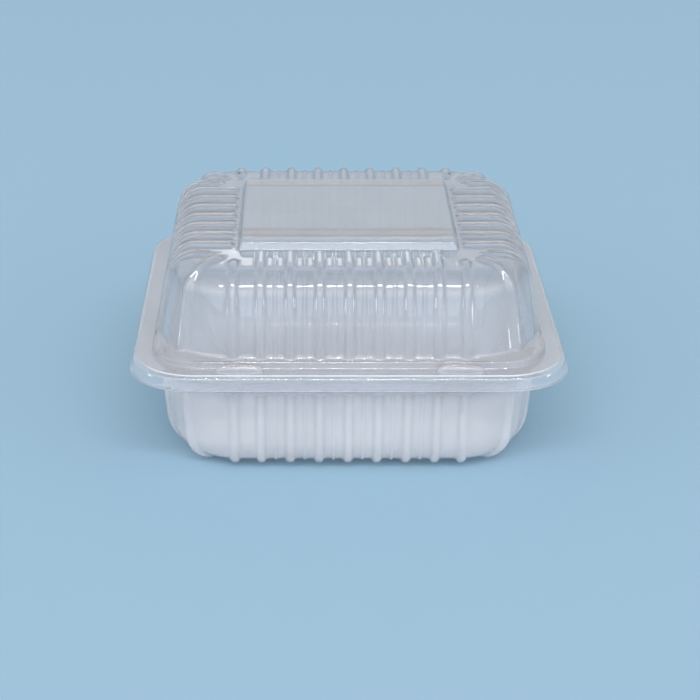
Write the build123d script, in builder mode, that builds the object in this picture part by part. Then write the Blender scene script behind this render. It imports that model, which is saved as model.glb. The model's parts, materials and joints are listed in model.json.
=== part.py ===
"""Clear clamshell pack: a ribbed tray and a ribbed domed lid, formed from one sheet and hinged at the back."""
import os
from collections import namedtuple
from math import cos, radians, sin, sqrt, tan

from build123d import *

# Sheet that both halves are formed from
sheet = 0.4
clearance = 0.3
overrun = 2.0

# Rim: the plane where the two flanges meet, the flanges and the skirt that stiffens the tray
rim_height = 41.5
lid_rim_half = 72.4
rim_step = 1.6
tray_rim_half = lid_rim_half + rim_step
rim_corner = 20.4
skirt_drop = 4.5
skirt_flare = 0.8

# Collar: the plain upright band between each flange and its ribbed wall
flange_width = 5.2
collar_half = lid_rim_half - flange_width
collar_corner = 17.5

# Tray walls: ledge at the foot of the collar, plan corner, collar height, draft in degrees, rounded edge
tray_ledge = 2.8
tray_corner = 26.5
tray_collar = 5.0
tray_draft = 5.5
tray_bend = 13.0

# Lid walls, the same, with the height of the flat between the ribs and of the middle panel above it
lid_ledge = 2.0
lid_corner = 27.0
lid_collar = 3.0
lid_draft = 10.0
lid_bend = 9.0
lid_depth = 31.2
lid_panel_rise = 3.3

# Round edges and round plan corners of the walls are made of this many flat steps
bend_facets = 2
corner_facets = 5

# Middle panel of both halves, set in from the collar
panel_margin_x = 30.0
panel_margin_y = 32.6
panel_half_x = collar_half - panel_margin_x
panel_half_y = collar_half - panel_margin_y
panel_slope = 0.9

# Ribs: flat crowns with flanks at 45 degrees, rooted a little below the wall that they stand on
rib_height = 1.4
rib_crown = 2.4
rib_root = 0.6
rib_pitch = 10.0
rib_gap = 1.0
short_rib_run = 7.0
outer_rib_margin = 28.0
outer_rib_offset = collar_half - outer_rib_margin
side_ribs = int((outer_rib_offset - rib_crown) / rib_pitch)

# Snap buttons on the front flange, the tray's inside the lid's
button_margin = 30.2
button_offset = collar_half - button_margin
button_length = 17.0
button_land = 0.6
button_width = flange_width - 2 * button_land
button_height = 3.0
button_corner = 1.2
button_crown = 1.0

# Hinge fold along the back edge, level with the rim plane
hinge_margin = 17.2
hinge_half = collar_half - hinge_margin
hinge_bead = 0.8
hinge_line = tray_rim_half + skirt_flare - hinge_bead

# The tray hangs from the rim to its panel, which stands level with the crowns of the ribs
Pan = namedtuple("Pan", "wall_half corner collar draft bend depth panel_rise")
tray_wall_half = collar_half - tray_ledge
tray_depth = rim_height - rib_height
tray_pan = Pan(tray_wall_half, tray_corner, tray_collar, tray_draft, tray_bend, tray_depth, rib_height)
lid_wall_half = collar_half - lid_ledge
lid_pan = Pan(lid_wall_half, lid_corner, lid_collar, lid_draft, lid_bend, lid_depth, lid_panel_rise)


def wall_section(pan, proud, foot):
    """Points (out from the middle, up from the rim) of a wall and its rounded edge, moved outwards by proud."""
    draft = radians(pan.draft)
    radius = pan.bend + proud
    centre_up = pan.depth - pan.bend
    centre_out = pan.wall_half - pan.bend / cos(draft) + (pan.collar - centre_up) * tan(draft)
    points = [(centre_out + radius / cos(draft) + (centre_up - foot) * tan(draft), foot)]
    for facet in range(bend_facets + 1):
        angle = draft + (radians(90) - draft) * facet / bend_facets
        points.append((centre_out + radius * cos(angle), centre_up + radius * sin(angle)))
    return points


def drafted_walls(pan, inset):
    """Block with drafted walls, a rounded edge to the flat and round plan corners, all in flat facets."""
    straight_half = pan.wall_half - pan.corner
    section = wall_section(pan, -inset, pan.collar - inset - rib_root)
    with BuildPart() as walls:
        for number in range(2 * corner_facets):
            turn = 90 * number / corner_facets
            reach = straight_half * (abs(cos(radians(turn))) + abs(sin(radians(turn))) - 1)
            right = [(out + reach, up) for out, up in section]
            left = [(-out, up) for out, up in reversed(right)]
            with BuildSketch(Plane.XZ.rotated((0, 0, turn))):
                with BuildLine():
                    Polyline(*right, *left, close=True)
                make_face()
            extrude(amount=2 * pan.wall_half, both=True, mode=Mode.INTERSECT if number else Mode.ADD)
    return walls.part


def rib_bar(pan, inset, end, reach=0):
    """One rib that climbs the +X wall, turns over the rounded edge and runs in to its end on the flat."""
    depth = rib_height + rib_root
    proud = rib_height - inset
    foot = pan.collar - inset - depth
    outline = [(out + reach, up) for out, up in wall_section(pan, proud, foot)]
    tip = end + inset + rib_height
    outline.append((tip, pan.depth + proud))
    outline.append((tip, pan.depth - pan.bend))
    outline.append((outline[0][0] - pan.bend, foot))
    with BuildPart() as bar:
        with BuildSketch(Plane.XZ):
            with BuildLine():
                Polyline(*outline, close=True)
            make_face()
        extrude(amount=rib_crown / 2 - inset * tan(radians(45) / 2) + depth, both=True)
        chamfer(bar.faces().filter_by(Axis.Y).edges(), length=depth)
    return bar.part


def middle_panel(pan, inset):
    """The plain panel that stands off the flat between the inner ends of the ribs, with sloped edges."""
    foot_x = panel_half_x + panel_slope - inset
    foot_y = panel_half_y + panel_slope - inset
    with BuildPart() as panel:
        with BuildSketch(Plane.XY.offset(pan.depth - pan.bend)):
            Rectangle(2 * foot_x, 2 * foot_y)
        extrude(amount=pan.bend + pan.panel_rise - inset)
        top = panel.faces().sort_by(Axis.Z)[-1]
        chamfer(top.edges(), length=panel_slope, length2=pan.panel_rise, reference=top)
    return panel.part


def formed_block(pan, inset):
    """Solid that fills one half of the pack, up from the rim, to a surface inset from the sheet's outside."""
    straight_half = pan.wall_half - pan.corner
    corner_reach = straight_half * (sqrt(2) - 1)
    flat_edge = wall_section(pan, 0, 0)[-1][0]
    rib_foot = panel_slope + rib_gap
    middle_places = [(0, rib_pitch * number) for number in range(-side_ribs, side_ribs + 1)]
    side_rib = rib_bar(pan, inset, panel_half_x + rib_foot)
    front_rib = rib_bar(pan, inset, panel_half_y + rib_foot)
    outer_rib = rib_bar(pan, inset, flat_edge - short_rib_run)
    corner_rib = rib_bar(pan, inset, flat_edge + corner_reach - short_rib_run, corner_reach)
    with BuildPart() as block:
        with BuildSketch(Plane.XY.offset(-inset)):
            RectangleRounded(2 * (collar_half - inset), 2 * (collar_half - inset), collar_corner - inset)
        extrude(amount=pan.collar)
        add(drafted_walls(pan, inset))
        add(middle_panel(pan, inset))
        with PolarLocations(0, 2):
            with Locations(*middle_places):
                add(side_rib)
        with PolarLocations(0, 2, start_angle=90):
            with Locations(*middle_places):
                add(front_rib)
        with PolarLocations(0, 4):
            with Locations((0, -outer_rib_offset), (0, outer_rib_offset)):
                add(outer_rib)
        with PolarLocations(0, 4, start_angle=45):
            add(corner_rib)
    return block.part


def snap_buttons(inset, sunk=0):
    """The pair of long buttons that stand in the middle of the lid's front flange, from sunk below the rim."""
    front = (collar_half + lid_rim_half) / 2
    with BuildPart() as pair:
        with BuildSketch(Plane.XY.offset(rim_height - sunk)) as plan:
            with Locations((-button_offset, -front), (button_offset, -front)):
                Rectangle(button_length - 2 * inset, button_width - 2 * inset)
            chamfer(plan.vertices(), length=button_corner - inset * (2 - sqrt(2)))
        extrude(amount=button_height - inset + sunk)
        chamfer(pair.faces().group_by(Axis.Z)[-1].edges(), length=button_crown - inset * (2 - sqrt(2)))
    return pair.part


def skirt_block(inset):
    """Flared slab under the rim plane that the tray's flange and skirt are the skin of."""
    with BuildPart() as slab:
        for grow, drop in ((0, 0), (skirt_flare, skirt_drop)):
            half = tray_rim_half + grow - inset
            with BuildSketch(Plane.XY.offset(rim_height - inset - drop)):
                RectangleRounded(2 * half, 2 * half, rim_corner + grow - inset)
        loft(ruled=True)
    return slab.part


# Tray: flange and skirt, the pan that hangs below the rim, and the male snap buttons
male_inset = sheet + clearance
with BuildPart() as base_tray:
    add(skirt_block(0))
    add(skirt_block(sheet), mode=Mode.SUBTRACT)
    add(snap_buttons(male_inset))
    with Locations(Location((0, 0, rim_height), (180, 0, 0))):
        add(formed_block(tray_pan, 0))
        add(formed_block(tray_pan, sheet), mode=Mode.SUBTRACT)
    add(snap_buttons(male_inset + sheet, sheet), mode=Mode.SUBTRACT)
    # The skirt stops at the hinge, where the flange is cut back clear of the fold
    with BuildSketch(Plane.XY.offset(rim_height + overrun)):
        with Locations((0, hinge_line - hinge_bead - clearance)):
            Rectangle(2 * (hinge_half + clearance), hinge_line, align=(Align.CENTER, Align.MIN))
    extrude(amount=-2 * overrun - skirt_drop, mode=Mode.SUBTRACT)
base_tray.part.label = "base_tray"

# Lid: flange with the hinge leaf and its fold, the dome and the female snap buttons
with BuildPart() as lid:
    with BuildSketch(Plane.XY.offset(rim_height)):
        RectangleRounded(2 * lid_rim_half, 2 * lid_rim_half, rim_corner)
        Rectangle(2 * hinge_half, hinge_line, align=(Align.CENTER, Align.MIN))
    extrude(amount=sheet)
    with BuildSketch(Plane.YZ):
        with Locations((hinge_line, rim_height)):
            Circle(hinge_bead)
    extrude(amount=hinge_half, both=True)
    add(snap_buttons(0))
    with Locations((0, 0, rim_height)):
        add(formed_block(lid_pan, 0))
        add(formed_block(lid_pan, sheet), mode=Mode.SUBTRACT)
    add(snap_buttons(sheet), mode=Mode.SUBTRACT)
lid.part.label = "lid"

os.makedirs("parts", exist_ok=True)
export_step(base_tray.part, "parts/base_tray.step")
export_step(lid.part, "parts/lid.step")
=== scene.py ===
import json
from collections import namedtuple
from math import atan2, cos, pi, radians, sin, tan

import bmesh
import bpy
import numpy as np
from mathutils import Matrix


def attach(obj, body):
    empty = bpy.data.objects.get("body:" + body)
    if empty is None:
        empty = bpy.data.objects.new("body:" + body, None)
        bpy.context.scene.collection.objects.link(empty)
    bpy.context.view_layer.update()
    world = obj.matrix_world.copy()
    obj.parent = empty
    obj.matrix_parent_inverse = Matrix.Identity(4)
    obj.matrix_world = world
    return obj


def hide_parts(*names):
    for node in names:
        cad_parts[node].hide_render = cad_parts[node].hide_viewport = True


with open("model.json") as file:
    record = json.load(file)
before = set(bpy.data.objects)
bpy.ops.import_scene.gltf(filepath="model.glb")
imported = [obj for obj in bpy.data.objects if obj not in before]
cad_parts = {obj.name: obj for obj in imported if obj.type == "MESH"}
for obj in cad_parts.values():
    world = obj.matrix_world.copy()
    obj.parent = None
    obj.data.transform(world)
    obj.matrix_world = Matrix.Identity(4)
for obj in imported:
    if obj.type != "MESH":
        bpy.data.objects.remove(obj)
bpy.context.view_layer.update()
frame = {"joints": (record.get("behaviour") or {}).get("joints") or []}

# Base tray: the lower half of one clear PET sheet, drawn by vacuum into a ribbed mould.
# A flange runs round its mouth and turns down into a short skirt that stiffens the rim.
# Ribs climb every wall, turn over the rounded edge and run in towards a plain middle panel.
MM = 0.001
hinge_place = frame["joints"][0]["pos_m"]
hinge_line = hinge_place[1] / MM
rim_height = hinge_place[2] / MM
sheet_thickness = 0.4
collar_half = 67.2
collar_corner = 17.5
rim_corner = 20.4
tray_rim_half = 74.0
lid_rim_half = 72.4
skirt_drop = 4.5
skirt_flare = 0.8
skirt_lip = 0.8
tray_collar = 5.0
tray_wall_half = 64.4
tray_wall_corner = 26.5
tray_draft = 5.5
tray_depth = 40.1
panel_half_x = 37.2
panel_half_y = 34.6
panel_slope = 0.9
panel_corner = 1.5
tray_panel_rise = 1.4
hinge_half = 50.0
tray_hinge_edge = 73.1

# Ribs: main ones on an even pitch, an outer one near each end of a side, and small ones between them
rib_height = 1.4
rib_foot_half = 2.5
rib_flank = 1.8
rib_crown_fall = 0.4
rib_pitch = 10.0
last_middle_rib = 30.0
outer_rib = 39.2
small_rib_height = 0.45
small_rib_foot_half = 1.0
small_rib_flank = 0.9
rib_end_gap = 1.0
rib_end_slope = 1.6
short_rib_run = 7.0

# Mesh columns: places from the middle of a rib and of a small rib, places near the ends of a side, and
# the first angle, the last angle and the step round a plan corner, away from its rib and close to it
rib_columns = np.array((0, 0.4, 0.8, 1.2, 1.6, 2.05, 2.5))
small_rib_columns = np.array((0, 0.25, 0.5, 0.75, 1.0))
outer_columns = np.array((34.6, 36.2, 36.8, 37.3, 37.8))
fixed_column = 33.0
corner_angles = (0, 36, 2.2)
corner_rib_angles = (36.5, 45, 1.2)
diagonal_angle = 45

# A bend of the sheet: its radius and the mesh steps round it
Bend = namedtuple("Bend", "radius steps")

# One corner of a section: how far out it is in X and in Y, its height from the rim, the round corner
# of the plan there, its bend, and the shares at which the run before it has further rows
Corner = namedtuple("Corner", "out_x out_y up plan_corner bend runs")

# Mesh rows along a section: how far out and up they are, the straight halves of the plan, and the normal
Rows = namedtuple("Rows", "out up straight_x straight_y normal_out normal_up")


def smooth_step(values):
    """Soft ramp from 0 to 1."""
    share = np.clip(values, 0, 1)
    return share * share * (3 - 2 * share)


def section_rows(corners, outs):
    """Mesh rows along a section with rounded corners that lie this far out."""
    points = [np.array((out, corner.up)) for out, corner in zip(outs, corners)]
    straights = [np.array((c.out_x - c.plan_corner, c.out_y - c.plan_corner)) for c in corners]
    rows = []
    for number, corner in enumerate(corners):
        here = points[number]
        back = here - points[number - 1] if number else points[1] - here
        on = points[number + 1] - here if number + 1 < len(corners) else back
        back = back / np.linalg.norm(back)
        on = on / np.linalg.norm(on)
        turn = atan2(back[0] * on[1] - back[1] * on[0], back @ on)
        start = here - back * corner.bend.radius * tan(abs(turn) / 2)
        centre = start + np.array((-back[1], back[0])) * corner.bend.radius * (1 if turn > 0 else -1)
        arc = []
        for step in range(corner.bend.steps + 1):
            angle = turn * step / max(corner.bend.steps, 1)
            swing = np.array(((cos(angle), -sin(angle)), (sin(angle), cos(angle))))
            heading = swing @ back
            arc.append((centre + swing @ (start - centre), straights[number], (heading[1], -heading[0])))
        for step, share in enumerate(corner.runs):
            place = rows[-step - 1][0] * (1 - share) + arc[0][0] * share
            straight = straights[number - 1] * (1 - share) + straights[number] * share
            rows.append((place, straight, arc[0][2]))
        rows += arc
    return Rows(*np.array([np.concatenate(row) for row in rows]).T[:, :, None])


def row_count(corners):
    """Number of mesh rows that these corners of a section take."""
    return sum(corner.bend.steps + 1 + len(corner.runs) for corner in corners)


def side_columns():
    """Places of the mesh columns across one side, close together on the flanks of the ribs."""
    places = {-fixed_column, fixed_column} | set(outer_columns) | set(-outer_columns)
    for rib in np.arange(-last_middle_rib, last_middle_rib + rib_pitch, rib_pitch):
        places |= set(np.round(np.concatenate((rib - rib_columns, rib + rib_columns)), decimals=3))
        small = rib + rib_pitch / 2
        if small < last_middle_rib:
            beside_small = np.concatenate((small - small_rib_columns, small + small_rib_columns))
            places |= set(np.round(beside_small, decimals=3))
    return np.array(sorted(places))


def corner_columns():
    """Angles of the mesh columns round one plan corner, close together at the rib on its diagonal."""
    half = np.concatenate((np.arange(*corner_angles), np.arange(*corner_rib_angles)))
    return np.radians(np.concatenate((half, [diagonal_angle], 2 * diagonal_angle - half[::-1])))


def rib_profile(away):
    """Height of a rib, from 0 to 1, this far from its middle: soft flanks and a slightly round crown."""
    crown = 1 - rib_crown_fall * (away / rib_foot_half) ** 2
    return smooth_step((rib_foot_half - np.abs(away)) / rib_flank) * crown


def across_ribs(across, out, ends):
    """Height of the ribs of one side at these places across it and this far out."""
    nearest = np.round(across / rib_pitch) * rib_pitch
    middle = rib_profile(across - nearest)
    middle = middle * (np.abs(nearest) <= last_middle_rib) * smooth_step((out - ends[0]) / rib_end_slope)
    outer = rib_profile(np.abs(across) - outer_rib) * smooth_step((out - ends[1]) / rib_end_slope)
    between = (np.floor(across / rib_pitch) + 0.5) * rib_pitch
    small = smooth_step((small_rib_foot_half - np.abs(across - between)) / small_rib_flank)
    small = small * (np.abs(between) < last_middle_rib) * smooth_step((out - ends[0]) / rib_end_slope)
    return np.maximum(rib_height * np.maximum(middle, outer), small_rib_height * small)


def formed_sheet(corners, foot, upwards, flat_edge):
    """Mesh of one formed half, a grid of section rows by plan columns with the ribs raised on it."""
    rows_x = section_rows(corners, [corner.out_x for corner in corners])
    rows_y = section_rows(corners, [corner.out_y for corner in corners])
    # The ribs rise outwards from the ledge at the foot of the wall, and along the normal above it
    ledge_start = row_count(corners[:foot])
    ledge_end = row_count(corners[:foot + 1])
    rise_out = np.zeros_like(rows_x.out)
    rise_up = np.zeros_like(rows_x.out)
    rise_out[ledge_start:ledge_end, 0] = np.linspace(0, 1, ledge_end - ledge_start + 1)[1:]
    rise_out[ledge_end:] = rows_x.normal_out[ledge_end:]
    rise_up[ledge_end:] = rows_x.normal_up[ledge_end:]
    sides = side_columns()
    arcs = corner_columns()
    lean = np.concatenate((np.zeros_like(sides), arcs))
    base_straight = corners[foot].out_x - corners[foot].plan_corner
    short_end = flat_edge - short_rib_run
    ends_x = (panel_half_x + panel_slope + rib_end_gap, short_end)
    ends_y = (panel_half_y + panel_slope + rib_end_gap, short_end)
    blocks = []
    for quarter in range(4):
        if quarter % 2:
            rows, ends, other_ends = rows_x, ends_x, ends_y
            straight_across, straight_out = rows.straight_y, rows.straight_x
        else:
            rows, ends, other_ends = rows_y, ends_y, ends_x
            straight_across, straight_out = rows.straight_x, rows.straight_y
        # The straight side, stretched beyond its fixed column to reach the round corner
        stretch = (straight_across - fixed_column) / (base_straight - fixed_column)
        beyond = np.sign(sides) * (fixed_column + (np.abs(sides) - fixed_column) * stretch)
        across = np.where(np.abs(sides) <= fixed_column, sides, beyond)
        across = np.where(straight_across > fixed_column, across, sides * straight_across / base_straight)
        side_out = np.broadcast_to(rows.out, across.shape)
        side_rise = across_ribs(across, side_out, ends)
        # The round corner after it, with its own rib on the diagonal
        reach = rows.out - straight_out
        turn_across = straight_across + reach * np.sin(arcs)
        turn_out = straight_out + reach * np.cos(arcs)
        diagonal = rib_profile(reach * np.sin(arcs - pi / 4))
        diagonal = rib_height * diagonal * smooth_step((rows.out - short_end) / rib_end_slope)
        turn_rise = np.maximum(across_ribs(turn_across, turn_out, ends), diagonal)
        turn_rise = np.maximum(turn_rise, across_ribs(turn_out, turn_across, other_ends))
        # Both together, raised by their ribs and turned to their side of the pack
        rise = np.concatenate((side_rise, turn_rise), axis=1)
        across = np.concatenate((across, turn_across), axis=1) + rise * rise_out * np.sin(lean)
        out = np.concatenate((side_out, turn_out), axis=1) + rise * rise_out * np.cos(lean)
        up = rows.up + rise * rise_up
        spin = quarter * pi / 2
        x = across * cos(spin) + out * sin(spin)
        y = across * sin(spin) - out * cos(spin)
        blocks.append(np.stack((x, y, rim_height + up * (1 if upwards else -1)), axis=2))
    return np.concatenate(blocks, axis=1)


# Snap buttons: each stands on the front flange, in place of some columns of one row of the grid.
# The rings of its mesh are given as shares of its plan and of its height.
ButtonSize = namedtuple("ButtonSize", "half_length half_width height")
Button = namedtuple("Button", "row columns x foot size")
button_offset = 37.0
button_front = -(collar_half + lid_rim_half) / 2
button_steps = 44
button_fullness = 0.8
button_shares = ((1, 0), (0.965, 0.06), (0.93, 0.3), (0.88, 0.62), (0.8, 0.82), (0.66, 0.94), (0.4, 1))
male_size = ButtonSize(half_length=7.4, half_width=0.8, height=2.3)


def button_on(grid, row, side, foot, size):
    """The snap button on this side of the front flange, with the columns of the grid that it covers."""
    middle = side * button_offset
    places = grid[row, :len(side_columns()), 0]
    first = int(np.searchsorted(places, middle - size.half_length - rib_end_gap)) - 1
    last = int(np.searchsorted(places, middle + size.half_length + rib_end_gap))
    return Button(row, (first, last), middle, foot, size)


def add_button(shell, points, button, turn):
    """Long snap button drawn up out of the flange, in the gap that the grid leaves for it."""
    first, last = button.columns
    size = button.size
    gap = points[button.row][first:last + 1] + points[button.row + 1][first:last + 1][::-1]
    rings = []
    for size_share, rise_share in button_shares:
        ring = []
        for step in range(button_steps):
            angle = 2 * pi * step / button_steps
            along = np.sign(cos(angle)) * abs(cos(angle)) ** button_fullness
            across = np.sign(sin(angle)) * abs(sin(angle)) ** button_fullness
            x = button.x + size.half_length * size_share * along
            y = button_front + size.half_width * size_share * across
            ring.append(shell.verts.new((x * MM, y * MM, (button.foot + size.height * rise_share) * MM)))
        rings.append(ring)
    border = [shell.edges.get(pair) for pair in zip(gap, gap[1:] + gap[:1])]
    border += [shell.edges.new(pair) for pair in zip(rings[0], rings[0][1:] + rings[0][:1])]
    bmesh.ops.triangle_fill(shell, use_beauty=True, edges=border, normal=(0, 0, turn))
    for lower, upper in zip(rings, rings[1:]):
        for step in range(button_steps):
            following = (step + 1) % button_steps
            shell.faces.new((lower[step], lower[following], upper[following], upper[step])[::turn])
    shell.faces.new(rings[-1][::turn])


sharp_angle = 50
sheet_slot = 0
trim_slot = 1


def shade_smooth(mesh):
    """Smooth shading, with hard edges where faces meet at more than the sharp angle."""
    mesh.polygons.foreach_set("use_smooth", [True] * len(mesh.polygons))
    mesh.set_sharp_from_angle(angle=radians(sharp_angle))


def sheet_object(name, grid, bare, upwards, buttons):
    """Object of a formed half, with the sheet's thickness put on the hidden side of the grid."""
    rows, columns = grid.shape[:2]
    turn = 1 if upwards else -1
    for button in buttons:
        bare[button.row, slice(*button.columns)] = True
    shell = bmesh.new()
    points = [[shell.verts.new(place) for place in row] for row in (grid * MM).tolist()]
    for row in range(rows - 1):
        lower, upper = points[row], points[row + 1]
        for column in np.flatnonzero(~bare[row]):
            following = (column + 1) % columns
            shell.faces.new((lower[column], lower[following], upper[following], upper[column])[::turn])
    shell.faces.new(points[-1][::turn])
    for button in buttons:
        add_button(shell, points, button, turn)
    loose = [point for point in shell.verts if not point.link_faces]
    bmesh.ops.delete(shell, geom=loose, context="VERTS")
    mesh = bpy.data.meshes.new(name)
    shell.to_mesh(mesh)
    shell.free()
    # One slot for the sheet and one for its trimmed edge
    mesh.materials.append(None)
    mesh.materials.append(None)
    piece = bpy.data.objects.new(name, mesh)
    bpy.context.scene.collection.objects.link(piece)
    wall = piece.modifiers.new("sheet", "SOLIDIFY")
    wall.thickness = sheet_thickness * MM
    wall.offset = -1
    wall.material_offset_rim = trim_slot
    graph = bpy.context.evaluated_depsgraph_get()
    piece.data = bpy.data.meshes.new_from_object(piece.evaluated_get(graph))
    piece.modifiers.clear()
    shade_smooth(piece.data)
    return piece


def wall_top(half, start, depth, draft):
    """How far out the line of a drafted wall is at the level of the flat."""
    return half - (depth - start) * tan(radians(draft))


def flat_start(edge, draft, bend):
    """How far out the flat begins, at the end of the bend between the wall and the flat."""
    return edge - bend.radius * tan(radians(90 - draft) / 2)


# The tray's section, from the lip of its skirt over the flange, down the wall and in to the panel
no_bend = Bend(0, 0)
lip_bend = Bend(0.3, 3)
rim_bend = Bend(0.5, 4)
tray_flange_bend = Bend(0.6, 3)
tray_collar_bend = Bend(0.8, 4)
tray_ledge_bend = Bend(1.8, 5)
tray_edge_bend = Bend(13.0, 11)
tray_panel_foot_bend = Bend(0.8, 3)
tray_panel_bend = Bend(0.5, 3)
half_share = (0.5,)
flange_share = (0.28,)
wall_shares = (0.03, 0.12, 0.5)
tray_flat_shares = (0.2, 0.33, 0.4, 0.48, 0.7, 0.87, 0.92, 0.96)
skirt_corners = 3
tray_ledge_corner = 5
tray_straight = tray_wall_half - tray_wall_corner
tray_edge = wall_top(tray_wall_half, tray_collar, tray_depth, tray_draft)
tray_edge_corner = tray_edge - tray_straight
skirt_foot = tray_rim_half + skirt_flare
inner_skirt = skirt_foot - skirt_lip
inner_rim = tray_rim_half - sheet_thickness
panel_foot_x = panel_half_x + panel_slope
panel_foot_y = panel_half_y + panel_slope
tray_panel = tray_depth + tray_panel_rise
tray_corners = (
    Corner(skirt_foot, skirt_foot, skirt_drop, rim_corner + skirt_lip, no_bend, ()),
    Corner(inner_skirt, inner_skirt, skirt_drop, rim_corner, lip_bend, ()),
    Corner(inner_rim, inner_rim, sheet_thickness, rim_corner, rim_bend, half_share),
    Corner(collar_half, collar_half, sheet_thickness, collar_corner, tray_flange_bend, flange_share),
    Corner(collar_half, collar_half, tray_collar, collar_corner, tray_collar_bend, ()),
    Corner(tray_wall_half, tray_wall_half, tray_collar, tray_wall_corner, tray_ledge_bend, half_share),
    Corner(tray_edge, tray_edge, tray_depth, tray_edge_corner, tray_edge_bend, wall_shares),
    Corner(panel_foot_x, panel_foot_y, tray_depth, panel_corner, tray_panel_foot_bend, tray_flat_shares),
    Corner(panel_half_x, panel_half_y, tray_panel, panel_corner, tray_panel_bend, ()),
    Corner(panel_half_x / 2, panel_half_y / 2, tray_panel, panel_corner, no_bend, ()),
)
tray_flat = flat_start(tray_edge, tray_draft, tray_edge_bend)
tray_grid = formed_sheet(tray_corners, tray_ledge_corner, False, tray_flat)

# The skirt stops at the hinge, and the flange is cut back there
skirt_rows = row_count(tray_corners[:skirt_corners])
behind = tray_grid[0, :, 1] > collar_half - collar_corner / 2
at_hinge = behind & (np.abs(tray_grid[0, :, 0]) < hinge_half)
tray_grid[skirt_rows - 1, at_hinge, 1] = tray_hinge_edge
tray_bare = np.zeros(tray_grid.shape[:2], dtype=bool)
tray_bare[:skirt_rows - 1] = at_hinge & np.roll(at_hinge, -1)
male_foot = rim_height - sheet_thickness
male_buttons = [button_on(tray_grid, skirt_rows, side, male_foot, male_size) for side in (-1, 1)]
tray_shell = sheet_object("tray_shell", tray_grid, tray_bare, False, male_buttons)
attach(tray_shell, "tray")
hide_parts("base_tray")

# Finish of the sheet: a faint cloudy haze that also makes its soft waves, fine scuffs that dull it
# a little, and a frosty edge where it was trimmed
pet_index = 1.57
cloud_scale = 38
cloud_detail = 4
cloud_spread = (0.3, 0.7)
cloud_shade = 0.95
wave_depth = 0.3
scuff_scale = 160
scuff_detail = 6
scuff_spread = (0.35, 0.75)
scuff_dulling = 2.2
trim_roughness = 0.35
trim_scale = 900
trim_detail = 3
trim_spread = (0.3, 0.7)
trim_shade = (0.78, 0.83, 0.9)
trim_colour = (0.95, 0.97, 1.0)

# Painted paleness: the heights between which the sheet turns milkier, which paints light onto the lower
# tray and the lid's walls, and how clear it still is there
PaintedPaleness = namedtuple("PaintedPaleness", "start end clarity")


def noise_on(tree, place, scale, detail):
    """Cloudy pattern that stays with the piece."""
    pattern = tree.nodes.new("ShaderNodeTexNoise")
    pattern.inputs["Scale"].default_value = scale
    pattern.inputs["Detail"].default_value = detail
    tree.links.new(place.outputs["Object"], pattern.inputs["Vector"])
    return pattern.outputs["Fac"]


def two_shades(tree, pattern, spread, dark, light):
    """Colour that goes from the dark shade to the light one as the pattern crosses the spread."""
    tint = tree.nodes.new("ShaderNodeValToRGB")
    for stop, position, shade in zip(tint.color_ramp.elements, spread, (dark, light)):
        stop.position = position
        stop.color = (*shade, 1)
    tree.links.new(pattern, tint.inputs["Fac"])
    return tint.outputs["Color"]


def ranged(tree, source, spread, limits, curve):
    """Value that goes from the first limit to the second as the source crosses the spread."""
    scaled = tree.nodes.new("ShaderNodeMapRange")
    scaled.interpolation_type = curve
    for socket, value in zip(("From Min", "From Max", "To Min", "To Max"), (*spread, *limits)):
        scaled.inputs[socket].default_value = value
    tree.links.new(source, scaled.inputs["Value"])
    return scaled.outputs["Result"]


def clear_sheet(name, haze, clarity, drawn, roughness, ripple):
    """Clear formed sheet with soft waves, faint scuffs and some haze, milkier over a band of heights as
    painted paleness.
    """
    material = bpy.data.materials.new(name)
    material.use_nodes = True
    tree = material.node_tree
    surface = tree.nodes["Principled BSDF"]
    surface.inputs["Transmission Weight"].default_value = clarity
    surface.inputs["IOR"].default_value = pet_index
    place = tree.nodes.new("ShaderNodeTexCoord")
    level = tree.nodes.new("ShaderNodeSeparateXYZ")
    tree.links.new(place.outputs["Object"], level.inputs["Vector"])
    # The band of heights in drawn is painted paleness: the sheet turns milkier there to stand in for
    # light
    paleness_heights = (drawn.start * MM, drawn.end * MM)
    haze_and_painted_paleness = ranged(tree, level.outputs["Z"], paleness_heights, (clarity, drawn.clarity), "SMOOTHSTEP")
    tree.links.new(haze_and_painted_paleness, surface.inputs["Transmission Weight"])
    cloud = noise_on(tree, place, cloud_scale, cloud_detail)
    shaded_haze = [shade * cloud_shade for shade in haze]
    cloudy = two_shades(tree, cloud, cloud_spread, shaded_haze, haze)
    tree.links.new(cloudy, surface.inputs["Base Color"])
    scuff = noise_on(tree, place, scuff_scale, scuff_detail)
    dull = ranged(tree, scuff, scuff_spread, (roughness, roughness * scuff_dulling), "LINEAR")
    tree.links.new(dull, surface.inputs["Roughness"])
    wave = tree.nodes.new("ShaderNodeBump")
    wave.inputs["Strength"].default_value = ripple
    wave.inputs["Distance"].default_value = wave_depth * MM
    tree.links.new(cloud, wave.inputs["Height"])
    tree.links.new(wave.outputs["Normal"], surface.inputs["Normal"])
    return material


def sheared_edge(name, clarity):
    """Edge of the sheet where it was trimmed: frosty, with fine marks of the cutter."""
    material = bpy.data.materials.new(name)
    material.use_nodes = True
    tree = material.node_tree
    surface = tree.nodes["Principled BSDF"]
    surface.inputs["Roughness"].default_value = trim_roughness
    surface.inputs["IOR"].default_value = pet_index
    surface.inputs["Transmission Weight"].default_value = clarity
    place = tree.nodes.new("ShaderNodeTexCoord")
    marks = noise_on(tree, place, trim_scale, trim_detail)
    frosty = two_shades(tree, marks, trim_spread, trim_shade, trim_colour)
    tree.links.new(frosty, surface.inputs["Base Color"])
    return material


# The tray turns milkier below its rim: painted paleness for the light its lower walls and bottom get from
# the pale table
tray_pet = clear_sheet(
    "tray_pet",
    haze=(0.92, 0.93, 0.97),
    clarity=0.85,
    drawn=PaintedPaleness(start=38, end=26, clarity=0.64),
    roughness=0.01,
    ripple=0.015,
)
tray_shell.data.materials[sheet_slot] = tray_pet
tray_shell.data.materials[trim_slot] = sheared_edge("tray_trim", clarity=0.7)

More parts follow.
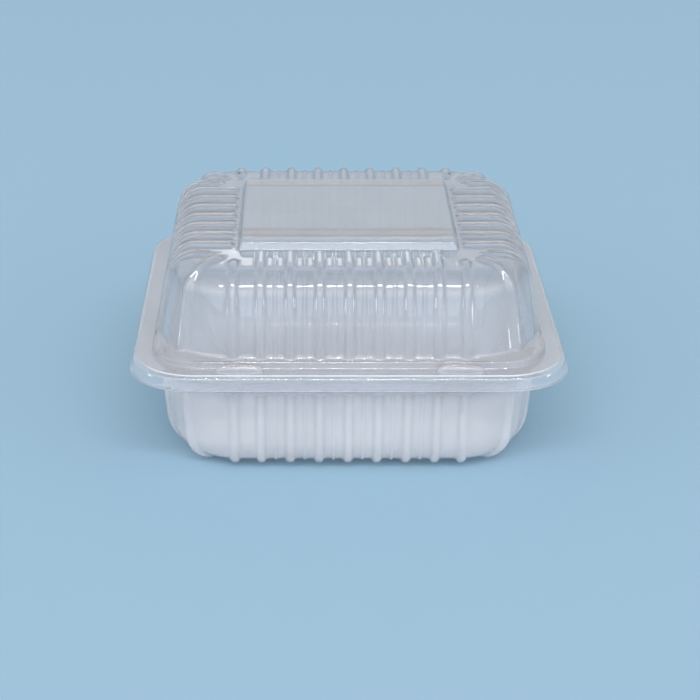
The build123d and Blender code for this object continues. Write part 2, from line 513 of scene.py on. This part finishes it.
# Lid: the upper half of the same sheet, a ribbed dome that stands on a narrow flange.
# It has the ribs of the tray, a plain panel raised in the middle of its top for a label,
# and it is joined to the tray only by the fold along the back edge.
lid_collar = 3.0
lid_wall_half = 65.2
lid_wall_corner = 27.0
lid_draft = 10.0
lid_depth = 31.2
lid_panel_rise = 3.3
lid_hinge_edge = 73.6
lid_collar_bend = Bend(0.5, 4)
lid_ledge_bend = Bend(1.7, 5)
lid_edge_bend = Bend(9.0, 12)
lid_panel_foot_bend = Bend(0.8, 4)
lid_panel_bend = Bend(1.7, 5)
lid_flange_share = (0.08,)
lid_flat_shares = (0.17, 0.33, 0.39, 0.45, 0.52, 0.66, 0.8, 0.87, 0.92, 0.96)
lid_panel_share = (0.03,)
lid_ledge_corner = 3
lid_straight = lid_wall_half - lid_wall_corner
lid_edge = wall_top(lid_wall_half, lid_collar, lid_depth, lid_draft)
lid_edge_corner = lid_edge - lid_straight
lid_panel = lid_depth + lid_panel_rise
lid_corners = (
    Corner(lid_rim_half, lid_rim_half, sheet_thickness, rim_corner, no_bend, ()),
    Corner(collar_half, collar_half, sheet_thickness, collar_corner, lid_collar_bend, lid_flange_share),
    Corner(collar_half, collar_half, lid_collar, collar_corner, lid_collar_bend, ()),
    Corner(lid_wall_half, lid_wall_half, lid_collar, lid_wall_corner, lid_ledge_bend, half_share),
    Corner(lid_edge, lid_edge, lid_depth, lid_edge_corner, lid_edge_bend, wall_shares),
    Corner(panel_foot_x, panel_foot_y, lid_depth, panel_corner, lid_panel_foot_bend, lid_flat_shares),
    Corner(panel_half_x, panel_half_y, lid_panel, panel_corner, lid_panel_bend, ()),
    Corner(panel_half_x / 2, panel_half_y / 2, lid_panel, panel_corner, no_bend, lid_panel_share),
)
lid_flat = flat_start(lid_edge, lid_draft, lid_edge_bend)
lid_grid = formed_sheet(lid_corners, lid_ledge_corner, True, lid_flat)

# The flange reaches out to the fold along the hinge, and its buttons fit over those of the tray
at_leaf = (lid_grid[0, :, 1] > collar_half) & (np.abs(lid_grid[0, :, 0]) < hinge_half)
lid_grid[0, at_leaf, 1] = lid_hinge_edge
lid_bare = np.zeros(lid_grid.shape[:2], dtype=bool)
female_size = ButtonSize(half_length=8.5, half_width=1.9, height=2.6)
female_foot = rim_height + sheet_thickness
female_row = 1
female_buttons = [button_on(lid_grid, female_row, side, female_foot, female_size) for side in (-1, 1)]
lid_shell = sheet_object("lid_shell", lid_grid, lid_bare, True, female_buttons)
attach(lid_shell, "lid")
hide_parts("lid")
# The lid turns milkier down its walls than on its top: painted paleness for the light that falls on its
# walls
lid_pet = clear_sheet(
    "lid_pet",
    haze=(0.89, 0.89, 0.92),
    clarity=0.885,
    drawn=PaintedPaleness(start=71, end=62, clarity=0.785),
    roughness=0.008,
    ripple=0.012,
)
lid_shell.data.materials[sheet_slot] = lid_pet
lid_shell.data.materials[trim_slot] = sheared_edge("lid_trim", clarity=0.2)

# Hinge: the fold of the sheet along the back edge, which forms a thin round bead.
# It swings with the lid, and the edge of the tray's flange stays against it all the way.
# Its ends are rounded in rings, each set in by some way and with a share of the radius.
hinge_bead = 0.8
bead_steps = 18
bead_ends = ((0, 0.45), (0.15, 0.75), (0.5, 1))
bead_places = []
for side, ends in ((-1, bead_ends), (1, bead_ends[::-1])):
    bead_places += [(side * (hinge_half - inset), hinge_bead * share) for inset, share in ends]
fold = bmesh.new()
bead_rings = []
for x, radius in bead_places:
    ring = []
    for step in range(bead_steps):
        angle = 2 * pi * step / bead_steps
        y = hinge_line + radius * cos(angle)
        z = rim_height + radius * sin(angle)
        ring.append(fold.verts.new((x * MM, y * MM, z * MM)))
    bead_rings.append(ring)
for ring, next_ring in zip(bead_rings, bead_rings[1:]):
    for step in range(bead_steps):
        following = (step + 1) % bead_steps
        fold.faces.new((ring[step], next_ring[step], next_ring[following], ring[following]))
fold.faces.new(bead_rings[0])
fold.faces.new(bead_rings[-1][::-1])
bmesh.ops.recalc_face_normals(fold, faces=fold.faces)
fold_mesh = bpy.data.meshes.new("hinge_fold")
fold.to_mesh(fold_mesh)
fold.free()
shade_smooth(fold_mesh)
hinge_fold = bpy.data.objects.new("hinge_fold", fold_mesh)
bpy.context.scene.collection.objects.link(hinge_fold)
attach(hinge_fold, "lid")
fold_mesh.materials.append(lid_pet)

# Studio: a pale blue matt table, which keeps the faint shadow of the pack, with light from all round.
# A long soft box hangs above in front, with a narrow strip before it for the glints on the bends.
# A small strip hangs far behind the pack, and one stands low at each side of it.
backdrop_colour = (0.325, 0.495, 0.632)
table_colour = (0.86, 0.88, 0.92)
table_glow = 0.1
half_floor = 6.0
floor_drop = 0.1
floor_corners = [(x * half_floor, y * half_floor, 0) for x, y in ((-1, -1), (1, -1), (1, 1), (-1, 1))]
floor_mesh = bpy.data.meshes.new("floor")
floor_mesh.from_pydata(floor_corners, [], [(0, 1, 2, 3)])
floor = bpy.data.objects.new("floor", floor_mesh)
floor.location.z = -floor_drop * MM
bpy.context.scene.collection.objects.link(floor)


def maths(tree, operation, first, second):
    """Result of a sum on two values of a material."""
    step = tree.nodes.new("ShaderNodeMath")
    step.operation = operation
    tree.links.new(first, step.inputs[0])
    tree.links.new(second, step.inputs[1])
    return step.outputs[0]


def table_top():
    """Matt table, pale where it lights the pack and blue where it is seen, reflected or seen through."""
    material = bpy.data.materials.new("table")
    material.use_nodes = True
    tree = material.node_tree
    tree.nodes.remove(tree.nodes["Principled BSDF"])
    path = tree.nodes.new("ShaderNodeLightPath")
    seen = maths(tree, "MAXIMUM", path.outputs["Is Camera Ray"], path.outputs["Is Glossy Ray"])
    seen = maths(tree, "MAXIMUM", seen, path.outputs["Is Transmission Ray"])
    colour = tree.nodes.new("ShaderNodeMix")
    colour.data_type = "RGBA"
    colour.inputs["A"].default_value = (*table_colour, 1)
    colour.inputs["B"].default_value = (*backdrop_colour, 1)
    tree.links.new(seen, colour.inputs["Factor"])
    matt = tree.nodes.new("ShaderNodeBsdfDiffuse")
    tree.links.new(colour.outputs["Result"], matt.inputs["Color"])
    even = tree.nodes.new("ShaderNodeEmission")
    even.inputs["Color"].default_value = (*backdrop_colour, 1)
    share = tree.nodes.new("ShaderNodeMath")
    share.operation = "MULTIPLY"
    share.inputs[1].default_value = table_glow
    tree.links.new(seen, share.inputs[0])
    mixed = tree.nodes.new("ShaderNodeMixShader")
    tree.links.new(share.outputs[0], mixed.inputs["Fac"])
    tree.links.new(matt.outputs[0], mixed.inputs[1])
    tree.links.new(even.outputs[0], mixed.inputs[2])
    tree.links.new(mixed.outputs[0], tree.nodes["Material Output"].inputs["Surface"])
    return material


floor_mesh.materials.append(table_top())

# Light from all round: blue at the horizon, white above it, grey overhead, and strongest in front
horizon_colour = (0.34, 0.48, 0.6)
bright_colour = (1.0, 1.0, 1.0)
bright_height = 0.35
overhead_colour = (0.6, 0.6, 0.6)
overhead_height = 0.75
front_reach = (-1.0, 0.2)
front_strengths = (2.65, 0.76)


def light_all_round():
    """World that lights the table and the pack."""
    world = bpy.data.worlds.new("studio")
    world.use_nodes = True
    tree = world.node_tree
    background = tree.nodes["Background"]
    place = tree.nodes.new("ShaderNodeTexCoord")
    heading = tree.nodes.new("ShaderNodeSeparateXYZ")
    tree.links.new(place.outputs["Generated"], heading.inputs["Vector"])
    heights = (0, overhead_height)
    glow = two_shades(tree, heading.outputs["Z"], heights, horizon_colour, overhead_colour)
    glow.node.color_ramp.elements.new(bright_height).color = (*bright_colour, 1)
    tree.links.new(glow, background.inputs["Color"])
    strength = ranged(tree, heading.outputs["Y"], front_reach, front_strengths, "SMOOTHSTEP")
    tree.links.new(strength, background.inputs["Strength"])
    return world


bpy.context.scene.world = light_all_round()
pack_middle = (0, 0, 0.05)


def soft_box(name, place, width, height, power, glint_only=False):
    """Area lamp that faces the pack; one made only for glints does not light the matt table."""
    lamp = bpy.data.lights.new(name, "AREA")
    lamp.shape = "RECTANGLE"
    lamp.size = width
    lamp.size_y = height
    lamp.energy = power
    box = bpy.data.objects.new(name, lamp)
    bpy.context.scene.collection.objects.link(box)
    box.visible_diffuse = not glint_only
    box.location = place
    heading = np.array(pack_middle) - np.array(place)
    heading = heading / np.linalg.norm(heading)
    flat = (heading[0] ** 2 + heading[1] ** 2) ** 0.5
    box.rotation_euler = (pi / 2 - atan2(-heading[2], flat), 0, atan2(-heading[0], heading[1]))


low_strip_places = ((-0.36, -0.105, 0.008), (0.36, -0.105, 0.008))
soft_box("front_box", place=(0, -1.72, 2.04), width=2.4, height=0.24, power=21)
soft_box("front_glint", place=(0, -1.69, 2.005), width=2.4, height=0.12, power=32, glint_only=True)
soft_box("back_strip", place=(0, 1.9, 0.785), width=0.34, height=0.03, power=0.03)
for low_place in low_strip_places:
    soft_box("low_strip", place=low_place, width=0.05, height=0.014, power=0.016, glint_only=True)

# Camera: a long lens in front of the pack and a little above it, tilted down towards it.
# It stands a little to the left, and its picture is shifted to keep the pack near the middle.
lens_length = 103.95
sensor_width = 36
picture_shift = 0.0674
camera_place = (-0.01571, -0.68976, 0.30955)
camera_tilt = 22.72
camera_data = bpy.data.cameras.new("camera")
camera_data.lens = lens_length
camera_data.sensor_width = sensor_width
camera_data.shift_x = picture_shift
camera = bpy.data.objects.new("camera", camera_data)
bpy.context.scene.collection.objects.link(camera)
camera.location = camera_place
camera.rotation_euler = (radians(90 - camera_tilt), 0, 0)
bpy.context.scene.camera = camera
bpy.context.scene.view_settings.view_transform = "Standard"
